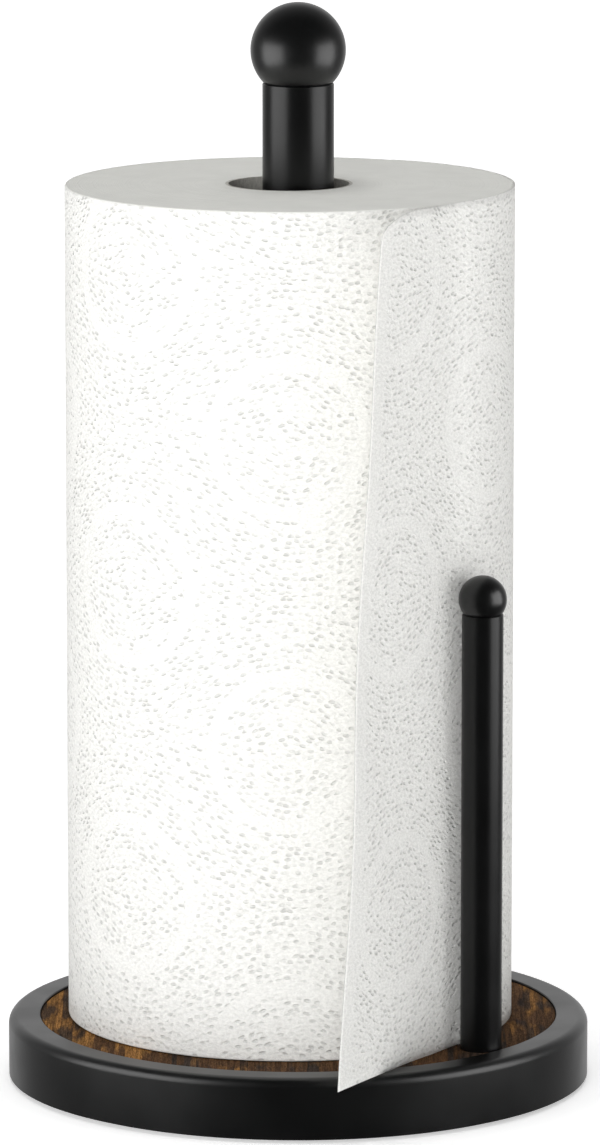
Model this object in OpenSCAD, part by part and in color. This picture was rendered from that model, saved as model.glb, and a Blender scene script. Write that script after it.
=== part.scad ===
// Paper towel holder: a weighted round stand with a post, a side arm and a roll of towels.
// Millimetres. The origin is on the table under the middle of the post, and +Z is up.

/* [Base] */
// Outer radius of the steel base
base_r = 97; // [95:0.5:105]
// Height of the rim above the table
rim_top = 21; // [20:0.5:26]
// Radius of the rounded outer edge of the rim
rim_round = 3.2; // [2:0.1:4]
// Wall of the drawn steel base
shell_wall = 1.4; // [1:0.1:1.8]
// Radius of the wooden top
wood_r = 86.3; // [85:0.1:88]
// Thickness of the wooden top
wood_t = 6; // [5:0.5:7]
// How far the wood lies below the rim
wood_recess = 0.6; // [0.5:0.1:1.5]
// Thickness of the pad under the base
pad_t = 2; // [1.5:0.5:3]

/* [Post] */
// Outer radius of the post
post_r = 11.8; // [10:0.1:13]
// Radius of the ball on the post
knob_r = 15.7; // [14:0.1:17]
// Height of the middle of that ball
knob_z = 344.4; // [330:0.1:360]

/* [Arm] */
// Outer radius of the side arm
arm_r = 6.8; // [5:0.1:7]
// Radius of the ball on the arm
arm_ball_r = 7.9; // [7.5:0.1:8.5]
// Height of the middle of that ball
arm_ball_z = 170.3; // [120:0.1:250]
// Direction of the arm around the post, in degrees
arm_angle = -40.3; // [-60:0.1:-20]

/* [Roll] */
// Radius of the roll
roll_r = 74; // [60:0.1:74]
// Height of the roll
roll_h = 279.4; // [230:0.1:290]
// Inner radius of the cardboard core
core_r = 20; // [20:0.1:22]
// Wall of the cardboard core
core_wall = 1; // [0.6:0.1:1.5]

/* [Loose sheet] */
// Thickness of the sheet with its embossing
sheet_t = 0.4; // [0.3:0.1:0.5]
// Direction around the roll where the sheet starts, in degrees
sheet_start = 62; // [20:1:80]
// Direction of the free end, from -Y towards -X, in degrees
web_angle = 30; // [24:1:34]
// Length of the free end along the bottom edge
web_low = 70; // [50:1:80]
// Length of the free end near the top edge
web_high = 41; // [30:1:60]
// Radius of the free end's upper corner
web_corner_r = 11; // [6:1:14]

/* [Hidden] */
$fn = 96;

// Gap around a tube that passes through the wood
fit_gap = 0.15;
// Gap between a screw, stud or plug and the wall around it
thread_gap = 0.05;
// Gap around a screw that passes freely through a hole
free_gap = 0.3;
// Gap between a moving paper surface and its neighbour
paper_gap = 0.25;
// Gap between the roll and the wood, and between the loose sheet and the rim
foot_gap = 0.2;
rim_gap = 0.3;
// Overshoot of a cutting shape past the face that it cuts
cut = 1;

// Levels of the base, from the table up
skirt_foot = 1;
cover_t = 1.2;
cover_top = pad_t + cover_t;
wood_top = rim_top - wood_recess;
shelf_top = wood_top - wood_t;
shelf_foot = shelf_top - shell_wall;
rim_inner_r = wood_r + 0.2;
lip_bevel = 0.3;
wood_bevel = 0.3;
ballast_r = 82;
ballast_top = shelf_foot;
ballast_bevel = 0.6;
cover_r = base_r - shell_wall - 0.3;
pad_r = base_r - shell_wall - 1.2;
pad_bevel = 0.4;

// Cover screws: truss heads that stay inside the pad's holes
cover_screw_r = 1.75;
cover_screw_head_r = 4;
cover_screw_face_r = 2.6;
cover_screw_head_h = 1.6;
cover_screw_l = 6;
cover_screw_slot_w = 0.9;
cover_screw_slot_l = 4;
pad_hole_r = 4.6;
cover_screw_pcr = 70;
cover_screw_angles = [45, 135, 225, 315];

// Fasteners of the post and the arm (M6)
screw_r = 3;
screw_flat = 10;
screw_head_h = 4;
screw_head_bevel = 0.7;
screw_l = 20;
lock_washer_t = 1.5;
lock_washer_r = 5.6;
lock_washer_slit = 1.2;
washer_t = 1.2;
washer_r = 6;
pocket_r = 7.2;
shoulder = 2;
washer_top = ballast_top - shoulder;
plug_l = 16;

// Tubes, plugs and studs
post_wall = 1.2;
arm_wall = 1.2;
post_bore_r = post_r - post_wall;
arm_bore_r = arm_r - arm_wall;
tube_foot = shelf_top;
tube_edge = 0.3;
// The balls sit in countersunk mouths, on a narrow lip
tube_lip = 0.5;
seat_gap = 0.01;
post_top = ball_under(knob_z, knob_r, post_r - tube_lip) - seat_gap;
arm_top = ball_under(arm_ball_z, arm_ball_r, arm_r - tube_lip) - seat_gap;
top_plug_l = 12;
top_plug_gap = 0.5;
knob_stud_r = 3;
arm_stud_r = 2;
stud_bevel = 0.4;
// How far into a ball its stud and the hole for it reach, as shares of the ball's radius
stud_reach = 0.55;
stud_hole_reach = 0.65;
// How far above a plug's lower end its stud starts
stud_inset = 1;

// The roll stands a little away from the arm, so its core isn't centred on the post
arm_margin = 0.7;
arm_reach = wood_r - arm_r - arm_margin;
arm_x = arm_reach * cos(arm_angle);
arm_y = arm_reach * sin(arm_angle);
roll_shift = roll_r + 2 * paper_gap + sheet_t + arm_ball_r - arm_reach;
roll_x = -roll_shift * cos(arm_angle);
roll_y = -roll_shift * sin(arm_angle);
roll_foot = wood_top + foot_gap;
core_outer_r = core_r + core_wall;

// The loose sheet: round the roll, past the arm, then straight out over the rim
sheet_r = roll_r + paper_gap;
bend_r = 60;
bend_sweep = -arm_angle - web_angle;
web_rise = rim_top + rim_gap - roll_foot;
web_rise_l = 28;

// Height of a ball's underside at a distance from its axis
function ball_under(z, r, out) = z - sqrt(r * r - out * out);

// A disc or a short cylinder with a chamfered edge at both ends
module turned(r, h, edge) {
    rotate_extrude()
        polygon([[0, 0], [r - edge, 0], [r, edge], [r, h - edge], [r - edge, h], [0, h]]);
}

// A ring between two radii
module ring(inner, outer, h) {
    difference() {
        cylinder(r = outer, h = h);
        translate([0, 0, -cut]) cylinder(r = inner, h = h + 2 * cut);
    }
}

// Puts its children at the foot of the arm
module at_arm() {
    translate([arm_x, arm_y, 0]) children();
}

// Puts its children at each cover screw
module at_cover_screws() {
    for (a = cover_screw_angles)
        rotate(a) translate([cover_screw_pcr, 0, 0]) children();
}

// The outline that the base shell is turned from: skirt, rounded rim, inner wall and shelf
module shell_outline() {
    difference() {
        union() {
            translate([0, skirt_foot]) square([base_r, rim_top - rim_round - skirt_foot]);
            translate([0, skirt_foot]) square([base_r - rim_round, rim_top - skirt_foot]);
            translate([base_r - rim_round, rim_top - rim_round]) circle(r = rim_round);
        }
        // the hollow under the rim, with the same rounding less the wall
        translate([rim_inner_r + shell_wall, 0])
            square([base_r - rim_round - rim_inner_r - shell_wall, rim_top - shell_wall]);
        translate([rim_inner_r + shell_wall, 0])
            square([base_r - rim_inner_r - 2 * shell_wall, rim_top - rim_round]);
        translate([base_r - rim_round, rim_top - rim_round]) circle(r = rim_round - shell_wall);
        // the hollow under the shelf
        square([rim_inner_r + shell_wall + cut, shelf_foot]);
        // the recess for the wood, with a small lip bevel
        translate([0, shelf_top]) square([rim_inner_r, rim_top]);
        polygon([[rim_inner_r - cut, rim_top + cut], [rim_inner_r - cut, rim_top - lip_bevel - cut],
                 [rim_inner_r, rim_top - lip_bevel], [rim_inner_r + lip_bevel, rim_top],
                 [rim_inner_r + lip_bevel + cut, rim_top + cut]]);
    }
}

module base_shell() {
    color([0.10, 0.10, 0.10])
    difference() {
        rotate_extrude($fn = 180) shell_outline();
        translate([0, 0, shelf_foot - cut]) cylinder(r = screw_r + free_gap, h = shell_wall + 2 * cut);
        at_arm() translate([0, 0, shelf_foot - cut])
            cylinder(r = screw_r + free_gap, h = shell_wall + 2 * cut);
    }
}

module wood_inlay() {
    color([0.30, 0.20, 0.13])
    difference() {
        translate([0, 0, shelf_top]) turned(wood_r, wood_t, wood_bevel);
        translate([0, 0, shelf_top - cut]) cylinder(r = post_r + fit_gap, h = wood_t + 2 * cut);
        at_arm() translate([0, 0, shelf_top - cut])
            cylinder(r = arm_r + fit_gap, h = wood_t + 2 * cut);
    }
}

// A pocket for a screw head and its washers, and the screw's way through the shoulder
module screw_pocket() {
    translate([0, 0, cover_top - cut]) cylinder(r = pocket_r, h = washer_top - cover_top + cut);
    translate([0, 0, cover_top]) cylinder(r = screw_r + free_gap, h = ballast_top);
}

module ballast_disc() {
    color([0.25, 0.25, 0.26])
    difference() {
        translate([0, 0, cover_top]) turned(ballast_r, ballast_top - cover_top, ballast_bevel);
        screw_pocket();
        at_arm() screw_pocket();
        at_cover_screws() translate([0, 0, cover_top - cut])
            cylinder(r = cover_screw_r + thread_gap, h = cover_screw_l + 2 * cut);
    }
}

module bottom_cover() {
    color([0.14, 0.14, 0.14])
    difference() {
        translate([0, 0, pad_t]) cylinder(r = cover_r, h = cover_t, $fn = 180);
        at_cover_screws() translate([0, 0, pad_t - cut])
            cylinder(r = cover_screw_r + free_gap, h = cover_t + 2 * cut);
    }
}

// One truss-head screw, head down, its head's seat at z = 0
module cover_screw() {
    slot_depth = cover_screw_head_h / 2;
    difference() {
        union() {
            rotate([180, 0, 0])
                cylinder(r1 = cover_screw_head_r, r2 = cover_screw_face_r, h = cover_screw_head_h);
            cylinder(r = cover_screw_r, h = cover_screw_l);
        }
        for (a = [0, 90])
            rotate(a)
                translate([-cover_screw_slot_l / 2, -cover_screw_slot_w / 2, -cover_screw_head_h - cut])
                cube([cover_screw_slot_l, cover_screw_slot_w, cut + slot_depth]);
    }
}

module cover_screws() {
    color([0.55, 0.55, 0.56])
    at_cover_screws() translate([0, 0, pad_t]) cover_screw();
}

module non_slip_pad() {
    color([0.08, 0.08, 0.08])
    difference() {
        turned(pad_r, pad_t, pad_bevel);
        at_cover_screws() translate([0, 0, -cut])
            cylinder(r = pad_hole_r, h = pad_t + 2 * cut);
    }
}

// A tube whose mouth is countersunk for the ball that sits in it
module tube(outer, inner, foot, top, ball_z, ball_r) {
    rotate_extrude()
        polygon([[inner, foot], [outer, foot], [outer, top - tube_edge], [outer - tube_edge, top],
                 [outer - tube_lip, top], [inner, ball_under(ball_z, ball_r, inner) - seat_gap]]);
}

module post_tube() {
    color([0.09, 0.09, 0.09]) tube(post_r, post_bore_r, tube_foot, post_top, knob_z, knob_r);
}

module post_foot_plug() {
    color([0.6, 0.6, 0.6])
    translate([0, 0, tube_foot]) ring(screw_r + thread_gap, post_bore_r - thread_gap, plug_l);
}

// The plug in a tube's mouth stays clear of the ball that dips into the mouth
module top_plug(bore, ball_z, ball_r, stud_r) {
    translate([0, 0, ball_z - ball_r - top_plug_gap - top_plug_l])
        ring(stud_r + thread_gap, bore - thread_gap, top_plug_l);
}

module post_top_plug() {
    color([0.6, 0.6, 0.6]) top_plug(post_bore_r, knob_z, knob_r, knob_stud_r);
}

// A hex screw, its head below z = 0 and its shank above
module hex_screw() {
    translate([0, 0, -screw_head_h])
        intersection() {
            cylinder(r = screw_flat / sqrt(3), h = screw_head_h, $fn = 6);
            turned(screw_flat / sqrt(3), screw_head_h + cut, screw_head_bevel);
        }
    cylinder(r = screw_r, h = screw_l);
}

module post_screw() {
    color([0.6, 0.6, 0.62])
    translate([0, 0, washer_top - washer_t - lock_washer_t]) hex_screw();
}

module flat_washer() {
    translate([0, 0, washer_top - washer_t]) ring(screw_r + free_gap, washer_r, washer_t);
}

module post_washer() {
    color([0.7, 0.7, 0.7]) flat_washer();
}

module lock_washer() {
    foot = washer_top - washer_t - lock_washer_t;
    difference() {
        translate([0, 0, foot]) ring(screw_r + free_gap, lock_washer_r, lock_washer_t);
        translate([screw_r - 1, -lock_washer_slit / 2, foot - cut])
            cube([lock_washer_r, lock_washer_slit, lock_washer_t + 2 * cut]);
    }
}

module post_lock_washer() {
    color([0.5, 0.5, 0.5]) lock_washer();
}

// A ball with a blind threaded hole underneath
module drilled_ball(ball_r, ball_z, stud_r) {
    difference() {
        translate([0, 0, ball_z]) sphere(r = ball_r, $fn = 128);
        translate([0, 0, ball_z - ball_r - cut])
            cylinder(r = stud_r + thread_gap, h = ball_r * stud_hole_reach + cut);
    }
}

// A stud from the plug up into the ball
module stud(ball_r, ball_z, stud_r) {
    foot = ball_z - ball_r - top_plug_gap - top_plug_l + stud_inset;
    translate([0, 0, foot])
        turned(stud_r, ball_z - ball_r * (1 - stud_reach) - foot, stud_bevel);
}

module knob_ball() {
    color([0.09, 0.09, 0.09]) drilled_ball(knob_r, knob_z, knob_stud_r);
}

module knob_stud() {
    color([0.6, 0.6, 0.62]) stud(knob_r, knob_z, knob_stud_r);
}

module arm_tube() {
    color([0.09, 0.09, 0.09]) at_arm()
        tube(arm_r, arm_bore_r, tube_foot, arm_top, arm_ball_z, arm_ball_r);
}

module arm_foot_plug() {
    color([0.6, 0.6, 0.6])
    at_arm() translate([0, 0, tube_foot])
        ring(screw_r + thread_gap, arm_bore_r - thread_gap, plug_l);
}

module arm_top_plug() {
    color([0.6, 0.6, 0.6]) at_arm() top_plug(arm_bore_r, arm_ball_z, arm_ball_r, arm_stud_r);
}

module arm_screw() {
    color([0.6, 0.6, 0.62])
    at_arm() translate([0, 0, washer_top - washer_t - lock_washer_t]) hex_screw();
}

module arm_washer() {
    color([0.7, 0.7, 0.7]) at_arm() flat_washer();
}

module arm_lock_washer() {
    color([0.5, 0.5, 0.5]) at_arm() lock_washer();
}

module arm_ball() {
    color([0.09, 0.09, 0.09]) at_arm() drilled_ball(arm_ball_r, arm_ball_z, arm_stud_r);
}

module arm_stud() {
    color([0.6, 0.6, 0.62]) at_arm() stud(arm_ball_r, arm_ball_z, arm_stud_r);
}

module roll_core() {
    color([0.60, 0.58, 0.54])
    translate([roll_x, roll_y, roll_foot]) ring(core_r, core_outer_r, roll_h);
}

module roll_paper() {
    color([0.95, 0.95, 0.94])
    translate([roll_x, roll_y, roll_foot]) ring(core_outer_r, roll_r, roll_h, $fn = 180);
}

// A thin curved wall: the part of a ring from angle a0 to angle a1, less than half a turn
module curved_wall(inner, a0, a1, h) {
    far = 4 * inner;
    intersection() {
        ring(inner, inner + sheet_t, h, $fn = 180);
        translate([0, 0, -cut]) linear_extrude(h + 2 * cut)
            polygon([[0, 0], [far * cos(a0), far * sin(a0)],
                     [far * cos((a0 + a1) / 2), far * sin((a0 + a1) / 2)],
                     [far * cos(a1), far * sin(a1)]]);
    }
}

// The straight end, seen from its side: it rises over the rim, and its free edge leans in
module web_outline() {
    top = roll_h + web_rise;
    lean = (web_low - web_high) / roll_h;
    difference() {
        polygon([[0, 0], [web_rise_l, web_rise], [web_low, web_rise], [web_high, top],
                 [web_rise_l, top], [0, roll_h]]);
        // the rounded upper corner
        translate([web_high + lean * web_corner_r - web_corner_r, top - web_corner_r])
            difference() {
                square(2 * web_corner_r);
                circle(r = web_corner_r);
            }
    }
}

module loose_sheet() {
    bend_x = roll_x + (sheet_r + sheet_t + bend_r) * cos(arm_angle);
    bend_y = roll_y + (sheet_r + sheet_t + bend_r) * sin(arm_angle);
    color([0.93, 0.93, 0.92])
    union() {
        translate([roll_x, roll_y, roll_foot]) curved_wall(sheet_r, arm_angle, sheet_start, roll_h);
        translate([bend_x, bend_y, roll_foot]) {
            curved_wall(bend_r, 180 + arm_angle, 180 + arm_angle + bend_sweep, roll_h);
            rotate(180 + arm_angle + bend_sweep) translate([bend_r, 0, 0])
                rotate([90, 0, 90]) linear_extrude(sheet_t) web_outline();
        }
    }
}

base_shell();
wood_inlay();
ballast_disc();
bottom_cover();
cover_screws();
non_slip_pad();
post_tube();
post_foot_plug();
post_top_plug();
post_screw();
post_washer();
post_lock_washer();
knob_ball();
knob_stud();
arm_tube();
arm_foot_plug();
arm_top_plug();
arm_screw();
arm_washer();
arm_lock_washer();
arm_ball();
arm_stud();
roll_core();
roll_paper();
loose_sheet();
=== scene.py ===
"""Finishes a counter-top paper towel stand.

The metal is satin black and the top is rustic wood. The roll is of embossed towels, and its free sheet is led past
the side arm. Lengths are in metres, except in the material recipes, which count in millimetres.
"""

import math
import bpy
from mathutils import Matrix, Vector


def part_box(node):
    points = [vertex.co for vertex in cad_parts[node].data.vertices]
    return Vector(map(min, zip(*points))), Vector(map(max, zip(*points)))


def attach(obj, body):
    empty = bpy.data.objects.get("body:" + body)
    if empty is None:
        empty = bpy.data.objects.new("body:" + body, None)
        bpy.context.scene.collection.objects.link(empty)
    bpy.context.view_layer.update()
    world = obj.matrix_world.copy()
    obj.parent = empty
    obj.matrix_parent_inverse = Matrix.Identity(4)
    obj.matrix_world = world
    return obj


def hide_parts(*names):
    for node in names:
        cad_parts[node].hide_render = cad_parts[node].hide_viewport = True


bl_info = {
    "name": "Paper Towel Stand",
    "version": (1, 0, 0),
    "blender": (4, 5, 0),
    "location": "3D View > Sidebar > Towel Stand",
    "description": "Finishes a counter-top paper towel stand and sets it in a plain studio",
    "category": "Object",
}

import bmesh
import bpy
from bpy.props import FloatProperty, FloatVectorProperty, IntProperty, PointerProperty
from bpy.types import Operator, Panel, PropertyGroup
from mathutils import Vector, noise

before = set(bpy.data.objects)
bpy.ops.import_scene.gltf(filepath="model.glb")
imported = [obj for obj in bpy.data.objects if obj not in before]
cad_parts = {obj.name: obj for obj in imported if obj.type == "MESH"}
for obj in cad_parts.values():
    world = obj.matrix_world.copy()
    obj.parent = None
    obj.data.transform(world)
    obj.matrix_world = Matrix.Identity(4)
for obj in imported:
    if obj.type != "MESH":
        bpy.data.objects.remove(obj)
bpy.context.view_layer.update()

MM = 0.001
TURN = 2 * math.pi
QUARTER = math.pi / 2
WHITE = (1.0, 1.0, 1.0)

FLOOR_REACH = 30  # half the floor's width
SENSOR_WIDTH = 36  # of the camera, in millimetres
SHARP_TURN = 0.6  # radians between two faces, from which their edge is sharp
END_FACE = 0.6  # how upright a face's normal is, at least, on the roll's ends
MERGE_REACH = 0.001 * MM  # corners this near to each other become one
ORDER_STEP = 0.01 * MM  # corners are put in order by their place, counted in steps of this
ORDER_SPAN = 100000  # more such steps than the stand is wide or tall

# name, place, size: two low boxes that only the paint mirrors
GLEAM_BOXES = (
    ("left_gleam", (-0.555, -0.255, 0.25), (0.66, 0.48)),
    ("right_gleam", (0.585, -0.20, 0.25), (0.58, 0.48)),
)
# name, place, aim, size, and the setting that holds the watts: broad boxes for all the rest
SOFT_BOXES = (
    ("left_box", (-1.05, -0.76, 0.30), (0, 0, 0.22), (0.66, 0.58), "left_power"),
    ("right_box", (1.197, -0.508, 0.30), (0, 0, 0.1), (0.66, 0.58), "right_power"),
    ("key_box", (-0.48, -2.38, 0.52), (0, 0, 0.1), (1.4, 1.0), "key_power"),
    ("top_box", (0, 0, 1.9), (0, 0, 0), (0.9, 0.9), "top_power"),
)

TUBE_NODES = ("bottom_cover", "post_tube", "arm_tube")
BALL_NODES = ("knob_ball", "arm_ball")
PLATED_NODES = (
    "cover_screws",
    "post_foot_plug",
    "post_top_plug",
    "post_screw",
    "post_washer",
    "post_lock_washer",
    "knob_stud",
    "arm_foot_plug",
    "arm_top_plug",
    "arm_screw",
    "arm_washer",
    "arm_lock_washer",
    "arm_stud",
)


class Upright:
    """Where a round, upright node of the frame stands, and how large it is."""

    def __init__(self, node):
        low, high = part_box(node)
        self.x = (low.x + high.x) / 2
        self.y = (low.y + high.y) / 2
        self.radius = (high.x - low.x) / 2
        self.foot = low.z
        self.top = high.z
        self.height = high.z - low.z

    def point(self, radius, angle):
        """The plan position at a radius and an angle around this node's axis."""
        return Vector((self.x + radius * math.cos(angle), self.y + radius * math.sin(angle)))


# ---------------------------------------------------------------- settings


class BaseSettings(PropertyGroup):
    edge_round: FloatProperty(
        name="Edge round", description="Radius of the rim's rounded outer edge", default=3.2 * MM, unit="LENGTH"
    )
    wall: FloatProperty(name="Wall", description="Thickness of the base's steel", default=1.4 * MM, unit="LENGTH")
    lip: FloatProperty(
        name="Lip", description="Width of the small bevel inside the rim", default=0.3 * MM, unit="LENGTH"
    )
    wood_gap: FloatProperty(
        name="Wood gap", description="Gap between the rim and the wood", default=0.2 * MM, unit="LENGTH"
    )
    around: IntProperty(name="Around", description="Faces around the base", default=256, min=32, max=512)


class RollSettings(PropertyGroup):
    paper: FloatVectorProperty(
        name="Paper", description="Colour of the towels", default=(0.83, 0.826, 0.800), subtype="COLOR", min=0, max=1
    )
    cut_paper: FloatVectorProperty(
        name="Cut paper", description="Colour of the roll's cut ends", default=(0.83, 0.83, 0.79), subtype="COLOR",
        min=0, max=1,
    )
    edge_round: FloatProperty(
        name="Edge round", description="Radius of the roll's soft corners", default=0.9 * MM, unit="LENGTH"
    )
    end_wave: FloatProperty(
        name="End wave", description="How far the turns stand out of the roll's ends", default=0.16 * MM, unit="LENGTH"
    )
    around: IntProperty(name="Around", description="Faces around the roll", default=192, min=32, max=360)
    columns: IntProperty(name="Columns", description="Columns of rosettes around the roll", default=8, min=4, max=16)
    rosette_gap: FloatProperty(
        name="Rosette gap", description="Height from one rosette to the next in its column", default=103 * MM,
        unit="LENGTH",
    )
    dimple_depth: FloatProperty(
        name="Dimple depth", description="Depth of the embossed dimples", default=0.34 * MM, unit="LENGTH"
    )


class SheetSettings(PropertyGroup):
    thickness: FloatProperty(
        name="Thickness", description="Thickness of the loose sheet", default=0.2 * MM, unit="LENGTH"
    )
    gap: FloatProperty(
        name="Gap", description="From the roll's surface to the middle of the sheet", default=0.45 * MM, unit="LENGTH"
    )
    start: FloatProperty(
        name="Start", description="Direction around the roll where the sheet comes off", default=math.radians(62),
        subtype="ANGLE",
    )
    bend: FloatProperty(
        name="Bend", description="Radius of the sheet's bend past the arm", default=60.2 * MM, unit="LENGTH"
    )
    heading: FloatProperty(
        name="Heading", description="Direction of the free end, from the front towards the left",
        default=math.radians(30), subtype="ANGLE",
    )
    low_length: FloatProperty(
        name="Low length", description="Length of the free end along its bottom edge", default=70 * MM, unit="LENGTH"
    )
    high_length: FloatProperty(
        name="High length", description="Length of the free end along its top edge", default=41 * MM, unit="LENGTH"
    )
    corner_length: FloatProperty(
        name="Corner length", description="Length of the round at the upper corner", default=24 * MM, unit="LENGTH"
    )
    corner_height: FloatProperty(
        name="Corner height", description="Height of the round at the upper corner", default=7 * MM, unit="LENGTH"
    )
    rise_length: FloatProperty(
        name="Rise length", description="Length in which the free end rises over the rim", default=28 * MM,
        unit="LENGTH",
    )
    rim_gap: FloatProperty(
        name="Rim gap", description="From the rim up to the free end's bottom edge", default=0.3 * MM, unit="LENGTH"
    )
    # painted light: the loose sheet's paper is painted this much lighter than the same paper on the roll
    bright: FloatProperty(
        name="Brightness", description="How light one sheet is beside the whole roll", default=1.05, min=0, max=1.2
    )
    wave: FloatProperty(
        name="Wave", description="How far the free end waves out of its plane", default=0.9 * MM, unit="LENGTH"
    )


class MetalSettings(PropertyGroup):
    paint: FloatVectorProperty(
        name="Paint", description="Colour of the powder coat", default=(0.0025, 0.0026, 0.0027), subtype="COLOR",
        min=0, max=1,
    )
    base_rough: FloatProperty(
        name="Base roughness", description="Roughness of the base", default=0.35, subtype="FACTOR", min=0, max=1
    )
    tube_rough: FloatProperty(
        name="Tube roughness", description="Roughness of the tubes", default=0.32, subtype="FACTOR", min=0, max=1
    )
    ball_rough: FloatProperty(
        name="Ball roughness", description="Roughness of the balls", default=0.33, subtype="FACTOR", min=0, max=1
    )
    gloss: FloatProperty(
        name="Gloss", description="Specular level of the base and the balls", default=0.5, subtype="FACTOR", min=0,
        max=1,
    )
    tube_gloss: FloatProperty(
        name="Tube gloss", description="Specular level of the tubes", default=0.32, subtype="FACTOR", min=0, max=1
    )
    plating: FloatVectorProperty(
        name="Plating", description="Colour of the zinc plating", default=(0.56, 0.57, 0.55), subtype="COLOR",
        min=0, max=1,
    )
    iron: FloatVectorProperty(
        name="Iron", description="Colour of the cast iron", default=(0.045, 0.045, 0.048), subtype="COLOR",
        min=0, max=1,
    )
    rubber: FloatVectorProperty(
        name="Rubber", description="Colour of the pad", default=(0.022, 0.022, 0.023), subtype="COLOR", min=0, max=1
    )


class WoodSettings(PropertyGroup):
    dark: FloatVectorProperty(
        name="Dark", description="Colour of the dark wood", default=(0.030, 0.024, 0.021), subtype="COLOR", min=0, max=1
    )
    brown: FloatVectorProperty(
        name="Brown", description="Main colour of the wood", default=(0.088, 0.045, 0.021), subtype="COLOR",
        min=0, max=1,
    )
    warm: FloatVectorProperty(
        name="Warm", description="Colour of the light patches", default=(0.30, 0.145, 0.043), subtype="COLOR",
        min=0, max=1,
    )
    strip: FloatProperty(
        name="Strip", description="Usual width of the glued strips", default=10 * MM, unit="LENGTH"
    )
    board: FloatVectorProperty(
        name="Board", description="Colour of the cardboard core", default=(0.58, 0.565, 0.52), subtype="COLOR",
        min=0, max=1,
    )


class StudioSettings(PropertyGroup):
    distance: FloatProperty(
        name="Distance", description="From the camera to the post, level", default=2.508, unit="LENGTH"
    )
    height: FloatProperty(name="Height", description="Camera's height over the table", default=0.612, unit="LENGTH")
    pitch: FloatProperty(
        name="Pitch", description="How far the camera looks down", default=math.radians(9.99), subtype="ANGLE"
    )
    lens: FloatProperty(name="Lens", description="Focal length in millimetres", default=241.1, min=20, max=600)
    shift: FloatProperty(
        name="Shift", description="How far to the right of the post the camera stands", default=0.6 * MM, unit="LENGTH"
    )
    floor_gap: FloatProperty(
        name="Floor gap", description="From the floor up to the pad's underside", default=0.3 * MM, unit="LENGTH"
    )
    floor: FloatVectorProperty(
        name="Floor", description="Colour of the floor", default=(0.93, 0.93, 0.93), subtype="COLOR", min=0, max=1
    )
    key_power: FloatProperty(name="Key power", description="Power of the front softbox in watts", default=32.5, min=0)
    left_power: FloatProperty(name="Left power", description="Power of the left softbox in watts", default=4.0, min=0)
    right_power: FloatProperty(
        name="Right power", description="Power of the right softbox in watts", default=2.1, min=0
    )
    top_power: FloatProperty(name="Top power", description="Power of the overhead softbox in watts", default=15, min=0)
    gleam: FloatProperty(
        name="Gleam", description="Brightness of the two low boxes that the paint mirrors, in watts per square metre",
        default=11.5, min=0,
    )
    front_fill: FloatProperty(name="Front fill", description="Strength of the glow from in front", default=0.03, min=0)
    back_fill: FloatProperty(name="Back fill", description="Strength of the glow from behind", default=0.86, min=0)


# ---------------------------------------------------------------- materials


class Value:
    """A number that varies over a surface. Arithmetic on it adds Math nodes to its recipe."""

    def __init__(self, recipe, socket):
        self.recipe = recipe
        self.socket = socket

    def maths(self, operation, *others):
        return self.recipe.node("ShaderNodeMath", {"operation": operation}, dict(enumerate((self, *others))))

    def __add__(self, other):
        return self.maths("ADD", other)

    def __sub__(self, other):
        return self.maths("SUBTRACT", other)

    def __rsub__(self, other):
        return self.recipe.node("ShaderNodeMath", {"operation": "SUBTRACT"}, {0: other, 1: self})

    def __mul__(self, other):
        return self.maths("MULTIPLY", other)

    def __truediv__(self, other):
        return self.maths("DIVIDE", other)

    def __mod__(self, other):
        return self.maths("FLOORED_MODULO", other)

    def __pow__(self, other):
        return self.maths("POWER", other)

    def floor(self):
        return self.maths("FLOOR")

    def root(self):
        return self.maths("SQRT")

    def below(self, other):
        """1 where this is less than other, and 0 elsewhere."""
        return self.maths("LESS_THAN", other)

    def fade(self, low, high, start=0.0, end=1.0):
        """Goes smoothly from start at low to end at high."""
        return self.recipe.node(
            "ShaderNodeMapRange",
            {"interpolation_type": "SMOOTHSTEP"},
            {"Value": self, "From Min": low, "From Max": high, "To Min": start, "To Max": end},
        )

    def wrapped(self, period):
        """The distance to the nearest multiple of period, with its sign."""
        return (self + period / 2) % period - period / 2


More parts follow.
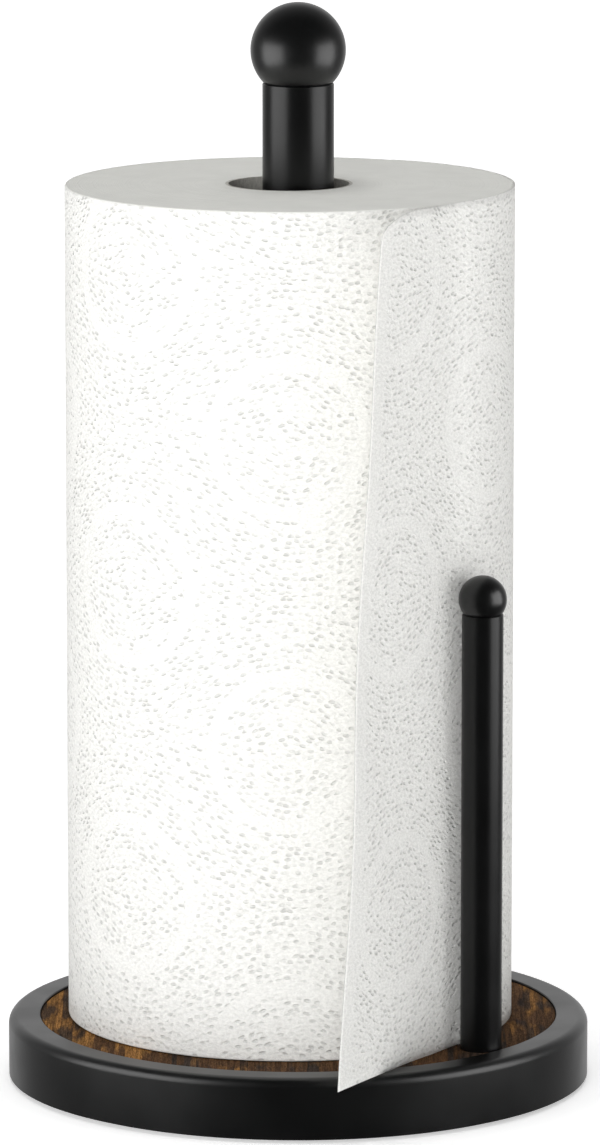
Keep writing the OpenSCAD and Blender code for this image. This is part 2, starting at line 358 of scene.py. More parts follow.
class Recipe:
    """The nodes that lead to one shader, and the material that they are in, if any."""

    def __init__(self, tree, shader, material=None):
        self.tree = tree
        self.shader = shader
        self.material = material

    def put(self, socket, value):
        if isinstance(value, Value):
            self.tree.links.new(value.socket, socket)
        elif isinstance(value, (tuple, list, bpy.types.bpy_prop_array)) and len(socket.default_value) == 4:
            socket.default_value = (*value[:3], 1.0)
        else:
            socket.default_value = value

    def node(self, kind, settings=None, sockets=None, output=0):
        """Adds a node: its settings first, then the values or links of its sockets. Gives one of its outputs."""
        made = self.tree.nodes.new(kind)
        for name, value in (settings or {}).items():
            setattr(made, name, value)
        for name, value in (sockets or {}).items():
            self.put(made.inputs[name], value)
        return Value(self, made.outputs[output])

    def split(self, vector):
        """The X, Y and Z of a vector."""
        parts = self.node("ShaderNodeSeparateXYZ", {}, {0: vector})
        return [Value(self, socket) for socket in parts.socket.node.outputs]

    def vector(self, x=0.0, y=0.0, z=0.0):
        return self.node("ShaderNodeCombineXYZ", {}, {0: x, 1: y, 2: z})

    def place(self, x=0.0, y=0.0, z=0.0):
        """Object coordinates in millimetres, counted from a point in metres."""
        coordinates = self.node("ShaderNodeTexCoord", output="Object")
        moved = self.node("ShaderNodeMapping", {}, {"Vector": coordinates, "Location": (-x, -y, -z)})
        return [part / MM for part in self.split(moved)]

    def wrap(self):
        """How far along and how far up the paper a point is, in millimetres."""
        coordinates = self.node("ShaderNodeUVMap", {"uv_map": "wrap"})
        return [part / MM for part in self.split(coordinates)[:2]]

    def cloud(self, x, y, z=0.0, scale=1.0, detail=2.0, rough=0.5):
        """Soft noise from 0 to 1 at a point in millimetres."""
        sockets = {"Vector": self.vector(x, y, z), "Scale": scale, "Detail": detail, "Roughness": rough}
        return self.node("ShaderNodeTexNoise", {}, sockets)

    def speckle(self, scale, detail=2.0, rough=0.5):
        """Soft noise from 0 to 1 all through the object. A larger scale makes it finer."""
        x, y, z = self.place()
        return self.cloud(x * scale, y * scale, z * scale, detail=detail, rough=rough)

    def blend(self, share, first, second):
        """Goes from the first colour to the second as share goes from 0 to 1."""
        settings = {"data_type": "RGBA", "blend_type": "MIX"}
        return self.node("ShaderNodeMix", settings, {0: share, 6: first, 7: second}, output=2)

    def shade(self, colour, by):
        """A colour made darker or lighter by a number."""
        return self.node("ShaderNodeVectorMath", {"operation": "SCALE"}, {"Vector": colour, "Scale": by})

    def relief(self, height):
        """Bumps of a height in millimetres on the shader."""
        bump = self.node("ShaderNodeBump", {}, {"Height": height, "Distance": MM, "Strength": 1.0})
        self.set(Normal=bump)

    def set(self, **sockets):
        """Sets or links sockets of the shader by name."""
        for socket, value in sockets.items():
            self.put(self.shader.inputs[socket.replace("_", " ")], value)


def surface(name, **sockets):
    """Starts the recipe of a new material."""
    material = bpy.data.materials.new(name)
    material.use_nodes = True
    shader = next(n for n in material.node_tree.nodes if n.type == "BSDF_PRINCIPLED")
    recipe = Recipe(material.node_tree, shader, material)
    recipe.set(**sockets)
    return recipe


def dimples(recipe, along, up, look, roll_radius):
    """1 in each embossed dimple and 0 between: short level strokes in rings around staggered rosettes."""
    column = TURN * roll_radius / look.columns / MM
    row = look.rosette_gap / MM
    ring_gap = 2.05
    ring_twist = 0.37
    stroke_gap = 2.85
    stroke_length = 0.98
    stroke_width = 0.48
    stray_along = 1.5
    stray_up = 1.0
    lean = 0.6
    stray_lean = 0.5
    faintest = 0.2
    soft_edge = 1.9
    band_from, band_full, band_until, band_end = 22.6, 23.4, 26.8, 27.6

    across_a, up_a = along.wrapped(2 * column), up.wrapped(row)
    across_b, up_b = (along - column).wrapped(2 * column), (up - row / 2).wrapped(row)
    nearer_a = (across_a * across_a + up_a * up_a).below(across_b * across_b + up_b * up_b)
    across = across_b + nearer_a * (across_a - across_b)
    rise = up_b + nearer_a * (up_a - up_b)

    far = (across * across + rise * rise).root()
    ring = (far / ring_gap).floor() + 0.5
    strokes = (ring * (TURN * ring_gap / stroke_gap) + 0.5).floor()
    turned = rise.maths("ARCTAN2", across) / TURN * strokes + ring * ring_twist
    stroke = turned.floor() + 0.5
    place = recipe.vector(ring, stroke, nearer_a)
    chance = recipe.node("ShaderNodeTexWhiteNoise", {"noise_dimensions": "3D"}, {0: place}, output="Color")
    shift_along, shift_up, depth = recipe.split(chance)
    heading = (stroke - ring * ring_twist) / strokes * TURN
    out = ring * ring_gap
    sideways, upwards = heading.maths("COSINE"), heading.maths("SINE")
    level = across - out * sideways + (shift_along - 0.5) * stray_along
    lift = rise - out * upwards + (shift_up - 0.5) * stray_up
    slope = lift + level * (sideways * upwards * lean + (shift_along - 0.5) * stray_lean)
    distance = (level / stroke_length) ** 2 + (slope / stroke_width) ** 2
    smooth_band = far.fade(band_from, band_full) * far.fade(band_until, band_end, 1.0, 0.0)
    present = depth.fade(0.1, 1.0, faintest, 1.0) * (1 - smooth_band)
    return distance.fade(0.0, soft_edge, 1.0, 0.0) * present


def towel_material(name, look, roll_radius, bright=1.0, edge=None):
    """Soft white paper with embossed dimples, painted darker inside as painted shade, and a plain margin if it has a
    free edge (length low, high, height).
    """
    recipe = surface(name, Roughness=0.92, Specular_IOR_Level=0.25)
    margin_plain, margin_end = 6.0, 9.5
    quilt_height, crepe_height = 0.30, 0.28
    # the paper's tone is scaled as painted light, lighter on the loose sheet than on the roll
    dull, clean = 0.89 * bright, 1.07 * bright
    dimple_painted_shade = 0.20
    along, up = recipe.wrap()
    pressed = dimples(recipe, along, up, look, roll_radius)
    if edge:
        low, high, height = (length / MM for length in edge)
        to_edge = up * ((high - low) / height) + low - along
        pressed = pressed * to_edge.fade(margin_plain, margin_end)
    crepe = recipe.cloud(along * 0.75, up * 1.1, detail=3.0, rough=0.7)
    quilt = recipe.cloud(along * 0.2, up * 0.25, detail=1.0)
    recipe.relief(quilt * quilt_height + crepe * crepe_height - pressed * (look.dimple_depth / MM))
    mottle = crepe.fade(0.3, 0.7, dull, clean)
    # painted shade: the paper is painted darker inside the embossed dimples
    recipe.set(Base_Color=recipe.shade(tuple(look.paper), mottle - pressed * dimple_painted_shade))
    return recipe.material


def shaded_edge_material(look):
    """The cut edge of one sheet, painted darker than the paper as a painted shade line along the sheet's edges."""
    recipe = surface("towel_edge", Roughness=0.95, Specular_IOR_Level=0.2)
    dull, clean = 0.55, 0.72
    fuzz = recipe.speckle(1.5, detail=2.0)
    # painted shade: the cut edge is painted darker than the paper
    recipe.set(Base_Color=recipe.shade(tuple(look.paper), fuzz.fade(0.3, 0.7, dull, clean)))
    return recipe.material


def roll_end_material(look, roll):
    """The cut ends of the roll: fine turns, packed less evenly in some places."""
    recipe = surface("towel_end", Roughness=0.95, Specular_IOR_Level=0.2)
    turns_per_mm = 1.9
    turn_height, fuzz_height = 0.22, 0.05
    x, y, _ = recipe.place(roll.x, roll.y)
    far = (x * x + y * y).root()
    turned = y.maths("ARCTAN2", x) / TURN
    turns = recipe.cloud(far * turns_per_mm - turned, 0.0, detail=2.0, rough=0.7)
    uneven = recipe.cloud(x * 0.08, y * 0.08, detail=2.0)
    fuzz = recipe.cloud(x * 2.5, y * 2.5, detail=2.0)
    recipe.relief(turns * turn_height + fuzz * fuzz_height)
    tone = turns.fade(0.25, 0.75, 0.93, 1.0) * uneven.fade(0.25, 0.75, 0.96, 1.0)
    recipe.set(Base_Color=recipe.shade(tuple(look.cut_paper), tone))
    return recipe.material


def paint_material(name, look, rough, gloss):
    """Satin black powder coat, with a fine orange peel."""
    recipe = surface(name, Specular_IOR_Level=gloss)
    peel_height = 0.012
    spread = 0.03
    peel = recipe.speckle(1.7, detail=1.0)
    drift = recipe.speckle(0.06, detail=2.0)
    recipe.relief(peel * peel_height)
    recipe.set(Roughness=drift.fade(0.2, 0.8, rough - spread, rough + spread))
    recipe.set(Base_Color=recipe.shade(tuple(look.paint), drift.fade(0.2, 0.8, 0.85, 1.15)))
    return recipe.material


def plating_material(look):
    """Zinc-plated steel with a faint crystalline bloom."""
    recipe = surface("zinc_plating", Metallic=1.0)
    line_height = 0.01
    x, y, z = recipe.place()
    bloom = recipe.speckle(0.9, detail=3.0)
    lines = recipe.cloud(x * 0.2, y * 0.2, z * 9.0, detail=2.0)
    recipe.relief(lines * line_height)
    recipe.set(Roughness=bloom.fade(0.3, 0.7, 0.26, 0.42))
    recipe.set(Base_Color=recipe.shade(tuple(look.plating), bloom.fade(0.3, 0.7, 0.86, 1.06)))
    return recipe.material


def iron_material(look):
    """Rough cast iron."""
    recipe = surface("cast_iron", Metallic=0.7)
    grain_height = 0.3
    grain = recipe.speckle(0.8, detail=4.0, rough=0.65)
    recipe.relief(grain * grain_height)
    recipe.set(Roughness=grain.fade(0.3, 0.7, 0.6, 0.8))
    recipe.set(Base_Color=recipe.shade(tuple(look.iron), grain.fade(0.3, 0.7, 0.7, 1.3)))
    return recipe.material


def rubber_material(look):
    """Foam rubber with fine open cells."""
    recipe = surface("foam_rubber", Specular_IOR_Level=0.3)
    cells_per_mm = 1.1
    cell_depth = 0.12
    place = recipe.vector(*recipe.place())
    cells = recipe.node("ShaderNodeTexVoronoi", {"feature": "F1"}, {"Vector": place, "Scale": cells_per_mm})
    recipe.relief(cells * cell_depth)
    recipe.set(Roughness=cells.fade(0.1, 0.6, 0.82, 0.95))
    recipe.set(Base_Color=recipe.shade(tuple(look.rubber), cells.fade(0.05, 0.6, 0.75, 1.3)))
    return recipe.material


def board_material(look, core):
    """Grey-brown cardboard wound on a spiral, with its seam."""
    recipe = surface("core_board", Roughness=0.9, Specular_IOR_Level=0.2)
    lead = 86.0
    seam_width = 0.9
    seam_depth, seam_shade = 0.25, 0.45
    fibre_height = 0.06
    x, y, z = recipe.place(core.x, core.y, core.foot)
    turned = y.maths("ARCTAN2", x) / TURN
    seam = ((z / lead - turned).wrapped(1.0) * lead).maths("ABSOLUTE").fade(seam_width / 2, seam_width, 1.0, 0.0)
    fibre = recipe.cloud(x * 0.9, y * 0.9, z * 0.5, detail=4.0, rough=0.6)
    speck = recipe.cloud(x * 3.1, y * 3.1, z * 3.1, detail=1.0)
    recipe.relief(fibre * fibre_height - seam * seam_depth)
    tone = fibre.fade(0.3, 0.7, 0.82, 1.08) * speck.fade(0.3, 0.7, 0.93, 1.05) * (1 - seam * seam_shade)
    recipe.set(Base_Color=recipe.shade(tuple(look.board), tone))
    return recipe.material


def wood_material(look):
    """Dark rustic strips glued side by side, with worn orange patches and grain from front to back."""
    recipe = surface("rustic_wood", Specular_IOR_Level=0.05)
    lane_sway = 0.2
    lane_spread = 0.9
    joint_core, joint_edge = 0.008, 0.026
    joint_depth, joint_shade = 0.3, 0.8
    streak_height, pore_height = 0.12, 0.06
    streak_seeds = 20
    worn_seed, stain_seed = 3.0, 11.0
    darkening = 0.85
    x, y, _ = recipe.place()
    wander = recipe.cloud(x * 0.02, y * 0.02, detail=1.0)
    lane = x / (look.strip / MM) + wander * lane_sway
    lanes = {"W": lane, "Randomness": lane_spread}
    first = {"voronoi_dimensions": "1D", "feature": "F1"}
    to_edge = {"voronoi_dimensions": "1D", "feature": "DISTANCE_TO_EDGE"}
    chance = recipe.node("ShaderNodeTexVoronoi", first, lanes, output="Color")
    tone, warmth, dull = recipe.split(chance)
    joint = recipe.node("ShaderNodeTexVoronoi", to_edge, lanes).fade(joint_core, joint_edge, 1.0, 0.0)

    ruffle = recipe.cloud(x * 0.6, y * 0.12, detail=3.0, rough=0.65)
    worn = recipe.cloud(x * 0.085, y * 0.022, worn_seed) + (ruffle - 0.5) * 0.22
    stained = recipe.cloud(x * 0.10, y * 0.024, stain_seed) + (ruffle - 0.5) * 0.18
    streak = recipe.cloud(x * 0.9, y * 0.045, tone * streak_seeds, detail=4.0, rough=0.7)
    pores = recipe.cloud(x * 3.2, y * 0.35, tone * streak_seeds, detail=2.0, rough=0.6)
    scuff = recipe.cloud(x * 1.6, y * 0.7, detail=3.0, rough=0.7)
    left_side = x.fade(-75, -15, 0.06, -0.07)
    light = (worn + (warmth - 0.5) * 0.24 + left_side).fade(0.47, 0.62)
    deep = (stained + (dull - 0.5) * 0.20).fade(0.50, 0.60)

    colour = recipe.blend(light * streak.fade(0.2, 0.55, 0.5, 1.0), tuple(look.brown), tuple(look.warm))
    colour = recipe.blend(deep * darkening, colour, tuple(look.dark))
    grain = streak.fade(0.25, 0.75, 0.45, 1.55) * pores.fade(0.3, 0.65, 0.65, 1.25) * scuff.fade(0.35, 0.75, 0.85, 1.4)
    recipe.relief(streak * streak_height + pores * pore_height - joint * joint_depth)
    recipe.set(Roughness=pores.fade(0.3, 0.7, 0.88, 0.76))
    recipe.set(Base_Color=recipe.shade(colour, grain * (1 - joint * joint_shade)))
    return recipe.material


def floor_material(look):
    """A plain pale floor that glows like a light table, most where the softboxes don't reach."""
    recipe = surface("pale_floor", Roughness=0.8, Specular_IOR_Level=0.0, Emission_Strength=1.0)
    near, wide = 200, 1800
    least_glow = 0.47
    x, y, _ = recipe.place()
    far = (x * x + y * y).root()
    glow = recipe.shade(WHITE, far.fade(near, wide, least_glow, 1.0))
    recipe.set(Base_Color=tuple(look.floor), Emission_Color=glow)
    return recipe.material


def give(nodes, material):
    """Puts a material in every slot of the frame's nodes."""
    for name in nodes:
        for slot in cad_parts[name].material_slots:
            slot.material = material


# ---------------------------------------------------------------- meshes


def piece(name, mesh, body, slot, *materials):
    """Makes a mesh into a piece that rides on a body of the frame."""
    data = bpy.data.meshes.new(name)
    mesh.to_mesh(data)
    mesh.free()
    for material in materials:
        data.materials.append(material)
    data.polygons.foreach_set("use_smooth", [True] * len(data.polygons))
    made = bpy.data.objects.new(name, data)
    bpy.context.scene.collection.objects.link(made)
    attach(made, body)
    return made


def crease(mesh):
    """Marks the edges between faces that turn sharply as sharp."""
    for edge in mesh.edges:
        edge.smooth = edge.calc_face_angle(0.0) < SHARP_TURN


def put_in_order(mesh):
    """Puts corners and faces in an order that is the same on every run, because merging leaves them in any order."""

    def rank(point):
        x, y, z = (round(part / ORDER_STEP) for part in point)
        return float((z * ORDER_SPAN + y) * ORDER_SPAN + x)

    mesh.verts.sort(key=lambda vertex: rank(vertex.co))
    mesh.faces.sort(key=lambda face: rank(face.calc_center_median()))
    mesh.verts.index_update()
    mesh.faces.index_update()


def turn_section(mesh, section, steps):
    """Turns a section once around the z axis and closes it."""
    bmesh.ops.spin(mesh, geom=section, cent=(0, 0, 0), axis=(0, 0, 1), angle=TURN, steps=steps, use_merge=True)
    bmesh.ops.remove_doubles(mesh, verts=mesh.verts[:], dist=MERGE_REACH)
    put_in_order(mesh)
    bmesh.ops.recalc_face_normals(mesh, faces=mesh.faces[:])


def arc(centre, radius, start, end, steps):
    """Points on a circle in the plan of x and z, from one angle to another."""
    angles = [start + (end - start) * i / steps for i in range(steps + 1)]
    return [Vector((centre[0] + radius * math.cos(a), 0, centre[1] + radius * math.sin(a))) for a in angles]


def chain(mesh, points, closed=True):
    """A row of edges through points, and back to the first one if it is closed."""
    corners = [mesh.verts.new(p) for p in points]
    ends = corners[1:] + (corners[:1] if closed else [])
    return corners + [mesh.edges.new(pair) for pair in zip(corners, ends)]


def base_outline(look, shell, wood):
    """The base's section from the axis out and back: shelf, inner wall, flat rim, rounded edge, skirt."""
    rounded_steps, hollow_steps = 10, 6
    inner = wood.radius + look.wood_gap
    centre = (shell.radius - look.edge_round, shell.top - look.edge_round)
    upper = [(0, wood.foot), (inner, wood.foot), (inner, shell.top - look.lip), (inner + look.lip, shell.top)]
    skirt = [(shell.radius, shell.foot), (shell.radius - look.wall, shell.foot)]
    under = [(inner + look.wall, shell.top - look.wall), (inner + look.wall, wood.foot - look.wall)]
    under.append((0, wood.foot - look.wall))
    rounded = arc(centre, look.edge_round, QUARTER, 0, rounded_steps)
    hollow = arc(centre, look.edge_round - look.wall, 0, QUARTER, hollow_steps)
    level = [[Vector((r, 0, z)) for r, z in part] for part in (upper, skirt, under)]
    return level[0] + rounded + level[1] + hollow + level[2]


def turned_base(look, shell, wood):
    """The drawn steel base as one turned sheet."""
    mesh = bmesh.new()
    turn_section(mesh, chain(mesh, base_outline(look, shell, wood), closed=False), look.around)
    crease(mesh)
    return mesh


def roll_outline(inner, outer, height, edge):
    """The roll's section: its foot and top in short steps, its corners as arcs."""
    end_step = 0.65 * MM
    side_step = 7 * MM
    corner_steps = 5
    steps = max(2, round((outer - edge - inner) / end_step))
    across = [inner + (outer - edge - inner) * i / steps for i in range(steps)]
    rows = max(2, round((height - 2 * edge) / side_step))
    side = [edge + (height - 2 * edge) * i / rows for i in range(1, rows)]
    foot = [Vector((r, 0, 0)) for r in across]
    foot += arc((outer - edge, edge), edge, -QUARTER, 0, corner_steps)
    head = arc((outer - edge, height - edge), edge, 0, QUARTER, corner_steps)
    head += [Vector((r, 0, height)) for r in reversed(across)]
    return foot + [Vector((outer, 0, z)) for z in side] + head


def wave_ends(mesh, height, inner, depth):
    """Presses the roll's ends in by a little, on a spiral and unevenly, so that its turns show."""
    pitch = 3.4 * MM
    patch = 18 * MM
    kept_edge = 1 * MM
    level = 0.01 * MM
    spiral_share, patch_share = 0.6, 0.4
    seed = 7.3
    for vertex in mesh.verts:
        far = math.hypot(vertex.co.x, vertex.co.y)
        if inner + kept_edge < far and min(vertex.co.z, height - vertex.co.z) < level:
            turn = math.atan2(vertex.co.y, vertex.co.x) / TURN
            spiral = noise.noise(Vector((far / pitch - turn, seed, 0)))
            uneven = noise.noise(Vector((vertex.co.x, vertex.co.y, 0)) / patch)
            press = depth * (1 + spiral_share * spiral + patch_share * uneven)
            vertex.co.z += press if vertex.co.z < height / 2 else -press


def wrap_faces(mesh, radius):
    """Lays a map on the roll that counts metres around it and up it."""
    layer = mesh.loops.layers.uv.new("wrap")
    for face in mesh.faces:
        middle = face.calc_center_median()
        heading = math.atan2(middle.y, middle.x)
        for loop in face.loops:
            turned = math.atan2(loop.vert.co.y, loop.vert.co.x) - heading
            turned = (turned + math.pi) % TURN - math.pi
            loop[layer].uv = ((heading + turned) * radius, loop.vert.co.z)


def wound_roll(look, roll, core):
    """The wound paper as one turned ring, with its foot at z = 0 and its axis on z."""
    mesh = bmesh.new()
    section = chain(mesh, roll_outline(core.radius, roll.radius, roll.height, look.edge_round))
    turn_section(mesh, section, look.around)
    crease(mesh)
    wave_ends(mesh, roll.height, core.radius, look.end_wave)
    wrap_faces(mesh, roll.radius)
    mesh.normal_update()
    for face in mesh.faces:
        face.material_index = int(abs(face.normal.z) > END_FACE)
    bmesh.ops.translate(mesh, verts=mesh.verts[:], vec=(roll.x, roll.y, roll.foot))
    return mesh


class SheetPath:
    """The sheet's way in plan: round the roll, past the arm in a gentle bend, then straight on."""

    def __init__(self, look, roll, arm):
        self.roll = roll
        self.around = roll.radius + look.gap
        self.bend = look.bend
        self.start = look.start
        self.arm_angle = math.atan2(arm.y - roll.y, arm.x - roll.x)
        self.wrap_length = self.around * (self.start - self.arm_angle)
        self.bend_sweep = -self.arm_angle - look.heading
        self.bend_length = self.bend * self.bend_sweep
        self.pivot = roll.point(self.around + self.bend, self.arm_angle)
        self.heading = Vector((-math.sin(look.heading), -math.cos(look.heading)))
        self.to_web = self.wrap_length + self.bend_length

    def at(self, distance):
        """The plan position at a distance from the sheet's start, and the way out from the roll there."""
        if distance < self.wrap_length:
            angle = self.start - distance / self.around
            return self.roll.point(self.around, angle), Vector((math.cos(angle), math.sin(angle)))
        turned = min(distance - self.wrap_length, self.bend_length) / self.bend
        angle = self.arm_angle + math.pi + turned
        inward = Vector((math.cos(angle), math.sin(angle)))
        web = max(0.0, distance - self.to_web)
        return self.pivot + self.bend * inward + web * self.heading, -inward


def smooth(share):
    """Eases from 0 to 1 as share does."""
    share = min(1.0, max(0.0, share))
    return share * share * (3 - 2 * share)


def loose_sheet(look, path, height, foot, rise):
    """The sheet as a grid that is led along its path, with a leaning free edge and a round upper corner."""
    columns = 150
    rows = 96
    tuck_length = 9 * MM
    tuck_depth = 0.62 * MM
    wave_rise = 50 * MM
    tall_wave, short_wave, slant = 47 * MM, 21 * MM, 30 * MM
    tall_start = 0.8
    short_share = 0.6
    low, high = path.to_web + look.low_length, path.to_web + look.high_length
    mesh = bmesh.new()
    bmesh.ops.create_grid(mesh, x_segments=columns, y_segments=rows, size=1.0)
    layer = mesh.loops.layers.uv.new("wrap")
    flat = {}
    for vertex in mesh.verts:
        up = (vertex.co.y + 1) / 2 * height
        reach = low + (high - low) * up / height
        along = (vertex.co.x + 1) / 2 * reach
        # the upper corner: a rectangle is drawn in to a quarter of an ellipse
        out = (along - reach) / look.corner_length + 1
        above = (up - height) / look.corner_height + 1
        if out > 0 and above > 0:
            drawn = max(out, above) / math.hypot(out, above) - 1
            along, up = along + out * drawn * look.corner_length, up + above * drawn * look.corner_height
        flat[vertex] = (along, up)
        spot, outward = path.at(along)
        web = max(0.0, along - path.to_web)
        swing = math.sin(up / tall_wave + tall_start) + short_share * math.sin(up / short_wave - web / slant)
        wave = look.wave * smooth(web / wave_rise) * swing
        tuck = tuck_depth * (1 - smooth(along / tuck_length))
        spot = spot + outward * (wave - tuck)
        vertex.co = (spot.x, spot.y, foot + up + rise * smooth(web / look.rise_length))
    for face in mesh.faces:
        for loop in face.loops:
            loop[layer].uv = flat[loop.vert]
    area = (low + high) / 2 * height - (1 - math.pi / 4) * look.corner_length * look.corner_height
    return mesh, (low, high, height), area


# ---------------------------------------------------------------- operators


class TOWELSTAND_OT_base(Operator):
    """Turn the steel base and coat it in satin black"""

    bl_idname = "towelstand.base"
    bl_label = "Steel Base"

    def execute(self, context):
        metal = context.scene.stand_metal
        mesh = turned_base(context.scene.stand_base, Upright("base_shell"), Upright("wood_inlay"))
        paint = paint_material("black_base", metal, metal.base_rough, metal.gloss)
        made = piece("steel_base", mesh, "stand", "black_metal", paint)
        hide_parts("base_shell")
        return {"FINISHED"}


class TOWELSTAND_OT_metalwork(Operator):
    """Coat the cover, the post, the arm and their balls in satin black"""

    bl_idname = "towelstand.metalwork"
    bl_label = "Painted Metalwork"

    def execute(self, context):
        look = context.scene.stand_metal
        give(TUBE_NODES, paint_material("black_tube", look, look.tube_rough, look.tube_gloss))
        give(BALL_NODES, paint_material("black_ball", look, look.ball_rough, look.gloss))
        return {"FINISHED"}


class TOWELSTAND_OT_fasteners(Operator):
    """Plate the screws, washers, studs and plugs"""

    bl_idname = "towelstand.fasteners"
    bl_label = "Plated Fasteners"

    def execute(self, context):
        give(PLATED_NODES, plating_material(context.scene.stand_metal))
        return {"FINISHED"}


class TOWELSTAND_OT_weight(Operator):
    """Finish the cast-iron weight inside the base"""

    bl_idname = "towelstand.weight"
    bl_label = "Iron Weight"

    def execute(self, context):
        give(("ballast_disc",), iron_material(context.scene.stand_metal))
        return {"FINISHED"}


class TOWELSTAND_OT_pad(Operator):
    """Finish the foam pad under the base"""

    bl_idname = "towelstand.pad"
    bl_label = "Foam Pad"

    def execute(self, context):
        give(("non_slip_pad",), rubber_material(context.scene.stand_metal))
        return {"FINISHED"}


class TOWELSTAND_OT_wood(Operator):
    """Finish the wooden top in rustic strips"""

    bl_idname = "towelstand.wood"
    bl_label = "Wooden Top"

    def execute(self, context):
        give(("wood_inlay",), wood_material(context.scene.stand_wood))
        return {"FINISHED"}


class TOWELSTAND_OT_core(Operator):
    """Finish the roll's cardboard core"""

    bl_idname = "towelstand.core"
    bl_label = "Cardboard Core"

    def execute(self, context):
        give(("roll_core",), board_material(context.scene.stand_wood, Upright("roll_core")))
        return {"FINISHED"}


class TOWELSTAND_OT_roll(Operator):
    """Wind the paper roll"""

    bl_idname = "towelstand.roll"
    bl_label = "Paper Roll"

    def execute(self, context):
        look = context.scene.stand_roll
        roll, core = Upright("roll_paper"), Upright("roll_core")
        side = towel_material("towel_side", look, roll.radius)
        end = roll_end_material(look, roll)
        made = piece("wound_towels", wound_roll(look, roll, core), "roll", "towel_roll", side, end)
        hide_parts("roll_paper")
        return {"FINISHED"}


class TOWELSTAND_OT_sheet(Operator):
    """Lead the loose sheet off the roll, past the arm and over the rim"""

    bl_idname = "towelstand.sheet"
    bl_label = "Loose Sheet"

    def execute(self, context):
        look = context.scene.stand_sheet
        roll, arm = Upright("roll_paper"), Upright("arm_tube")
        path = SheetPath(look, roll, arm)
        rise = Upright("base_shell").top + look.rim_gap - roll.foot
        mesh, edge, area = loose_sheet(look, path, roll.height, roll.foot, rise)
        towel = context.scene.stand_roll
        # painted light: the sheet's paper is painted lighter than the roll's
        paper = towel_material("towel_sheet", towel, roll.radius, look.bright, edge)
        made = piece("free_towel", mesh, "free_sheet", "towel_sheet", paper, shaded_edge_material(towel))
        thick = made.modifiers.new("Thickness", "SOLIDIFY")
        thick.thickness = look.thickness
        thick.offset = 0
        thick.material_offset_rim = 1
        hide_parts("loose_sheet")
        return {"FINISHED"}


class TOWELSTAND_OT_studio(Operator):
    """Set the pale floor, the softboxes and the camera"""

    bl_idname = "towelstand.studio"
    bl_label = "Studio"

    def execute(self, context):
        look = context.scene.stand_studio
        lay_floor(look)
        set_softboxes(look)
        set_world(look)
        set_camera(look)
        return {"FINISHED"}


def lay_floor(look):
    """A wide level floor just under the stand."""
    mesh = bmesh.new()
    bmesh.ops.create_grid(mesh, x_segments=1, y_segments=1, size=FLOOR_REACH)
    data = bpy.data.meshes.new("floor")
    mesh.to_mesh(data)
    mesh.free()
    data.materials.append(floor_material(look))
    floor = bpy.data.objects.new("floor", data)
    floor.visible_glossy = False
    floor.location.z = -look.floor_gap
    bpy.context.scene.collection.objects.link(floor)


def set_softbox(name, place, aim, size, power, gleam=False):
    """An area light that looks from one point at another: one that the paint mirrors, or one for all the rest."""
    light = bpy.data.lights.new(name, "AREA")
    light.shape = "RECTANGLE"
    light.size, light.size_y = size
    light.energy = power
    box = bpy.data.objects.new(name, light)
    box.location = place
    box.rotation_mode = "QUATERNION"
    box.rotation_quaternion = (Vector(aim) - Vector(place)).to_track_quat("-Z", "Y")
    box.visible_camera = False
    box.visible_glossy = gleam
    box.visible_diffuse = not gleam
    bpy.context.scene.collection.objects.link(box)


def set_softboxes(look):
    """Low boxes at the sides for the paint, and broad ones around and above for the rest."""
    for name, place, size in GLEAM_BOXES:
        set_softbox(name, place, (0, 0, place[2]), size, look.gleam * size[0] * size[1], gleam=True)
    for name, place, aim, size, power in SOFT_BOXES:
        set_softbox(name, place, aim, size, getattr(look, power))


def set_world(look):
    """A glow all around that is strongest from behind."""
    side_share = 0.3
    front_end, side_start = -0.1, 0.55
    side_end, back_start = 0.6, 1.0
    world = bpy.data.worlds.new("studio")
    world.use_nodes = True
    recipe = Recipe(world.node_tree, world.node_tree.nodes["Background"])
    _, back, _ = recipe.split(recipe.node("ShaderNodeTexCoord", output="Generated"))
    side = back.fade(front_end, side_start, look.front_fill, side_share * look.back_fill)
    rear = back.fade(side_end, back_start, 0.0, (1 - side_share) * look.back_fill)
    recipe.set(Color=recipe.shade(WHITE, side + rear))
    bpy.context.scene.world = world
    bpy.context.scene.view_settings.view_transform = "Standard"


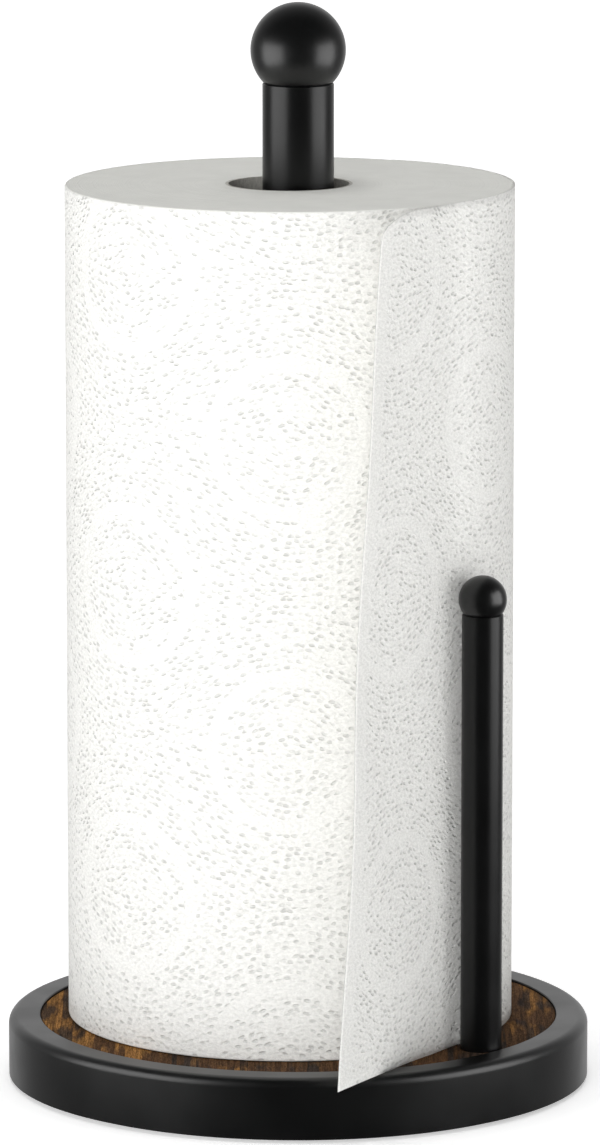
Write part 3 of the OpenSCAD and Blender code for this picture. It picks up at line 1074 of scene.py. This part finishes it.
def set_camera(look):
    """A long lens at a little over the roll's height, looking slightly down."""
    data = bpy.data.cameras.new("camera")
    data.lens = look.lens
    data.sensor_width = SENSOR_WIDTH
    data.clip_end = 100
    camera = bpy.data.objects.new("camera", data)
    camera.location = (look.shift, -look.distance, look.height)
    camera.rotation_euler = (QUARTER - look.pitch, 0, 0)
    bpy.context.scene.collection.objects.link(camera)
    bpy.context.scene.camera = camera


# ---------------------------------------------------------------- panel and registration

SETTINGS = {
    "stand_base": BaseSettings,
    "stand_roll": RollSettings,
    "stand_sheet": SheetSettings,
    "stand_metal": MetalSettings,
    "stand_wood": WoodSettings,
    "stand_studio": StudioSettings,
}
STEPS = (
    TOWELSTAND_OT_studio,
    TOWELSTAND_OT_base,
    TOWELSTAND_OT_metalwork,
    TOWELSTAND_OT_fasteners,
    TOWELSTAND_OT_weight,
    TOWELSTAND_OT_pad,
    TOWELSTAND_OT_wood,
    TOWELSTAND_OT_core,
    TOWELSTAND_OT_roll,
    TOWELSTAND_OT_sheet,
)


class TOWELSTAND_PT_sidebar(Panel):
    """Lists the stand's pieces and their settings"""

    bl_label = "Towel Stand"
    bl_idname = "TOWELSTAND_PT_sidebar"
    bl_space_type = "VIEW_3D"
    bl_region_type = "UI"
    bl_category = "Towel Stand"

    def draw(self, context):
        for step in STEPS:
            self.layout.operator(step.bl_idname)
        for name, group in SETTINGS.items():
            box = self.layout.box()
            box.label(text=name.replace("_", " ").capitalize())
            for setting in group.__annotations__:
                box.prop(getattr(context.scene, name), setting)


CLASSES = (*SETTINGS.values(), *STEPS, TOWELSTAND_PT_sidebar)


def register():
    for entry in CLASSES:
        bpy.utils.register_class(entry)
    for name, group in SETTINGS.items():
        setattr(bpy.types.Scene, name, PointerProperty(type=group))


def unregister():
    for name in SETTINGS:
        delattr(bpy.types.Scene, name)
    for entry in reversed(CLASSES):
        bpy.utils.unregister_class(entry)


def main():
    register()
    bpy.ops.towelstand.studio()
    bpy.ops.towelstand.base()
    bpy.ops.towelstand.metalwork()
    bpy.ops.towelstand.fasteners()
    bpy.ops.towelstand.weight()
    bpy.ops.towelstand.pad()
    bpy.ops.towelstand.wood()
    bpy.ops.towelstand.core()
    bpy.ops.towelstand.roll()
    bpy.ops.towelstand.sheet()


if __name__ == "__main__":
    main()
